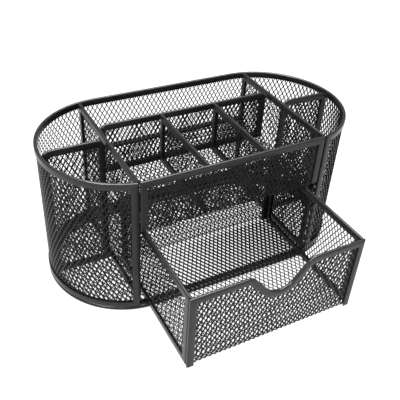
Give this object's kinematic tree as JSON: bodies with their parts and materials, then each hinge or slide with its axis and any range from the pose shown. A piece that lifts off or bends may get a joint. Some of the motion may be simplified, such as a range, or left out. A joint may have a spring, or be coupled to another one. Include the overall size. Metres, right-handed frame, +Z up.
{
  "type": "pen stand with drawer",
  "caption": "Mesh-metal pen stand with rounded ends, open compartments on two levels and a pull-out drawer with a finger scoop.",
  "frame": {"origin": "centre of the stadium-shaped base, on the plane that the stand rests on", "axes": "+Z up, +X to the right along the front, -Y towards the user; the drawer slides out along -Y"},
  "size_m": [0.22, 0.1668, 0.102],
  "materials": {
    "mesh": "satin black powder coat on expanded steel mesh",
    "channel": "satin black powder coat on folded steel strip"
  },
  "bodies": {
    "housing": {"base_mesh": "mesh", "base_rim": "channel", "front_panel_frame": "channel", "front_panel_mesh": "mesh", "left_divider_frame": "channel", "left_divider_mesh": "mesh", "left_end_divider_frame": "channel", "left_end_divider_mesh": "mesh", "left_small_divider_frame": "channel", "left_small_divider_mesh": "mesh", "left_wall_post": "channel", "outer_wall_bottom_rim": "channel", "outer_wall_mesh": "mesh", "outer_wall_top_rim": "channel", "partition_frame": "channel", "partition_mesh": "mesh", "right_divider_frame": "channel", "right_divider_mesh": "mesh", "right_end_divider_frame": "channel", "right_end_divider_mesh": "mesh", "right_small_divider_frame": "channel", "right_small_divider_mesh": "mesh", "right_wall_post": "channel", "shelf_mesh": "mesh", "shelf_rear_rail": "channel"},
    "drawer": {"drawer_back_frame": "channel", "drawer_back_mesh": "mesh", "drawer_floor_mesh": "mesh", "drawer_front_frame": "channel", "drawer_front_mesh": "mesh", "drawer_left_side_frame": "channel", "drawer_left_side_mesh": "mesh", "drawer_right_side_frame": "channel", "drawer_right_side_mesh": "mesh"}
  },
  "joints": [
    {"name": "drawer_slide", "type": "slide", "parent": "housing", "child": "drawer", "axis": [0, -1, 0], "range_m": [-0.058, 0.036]}
  ]
}
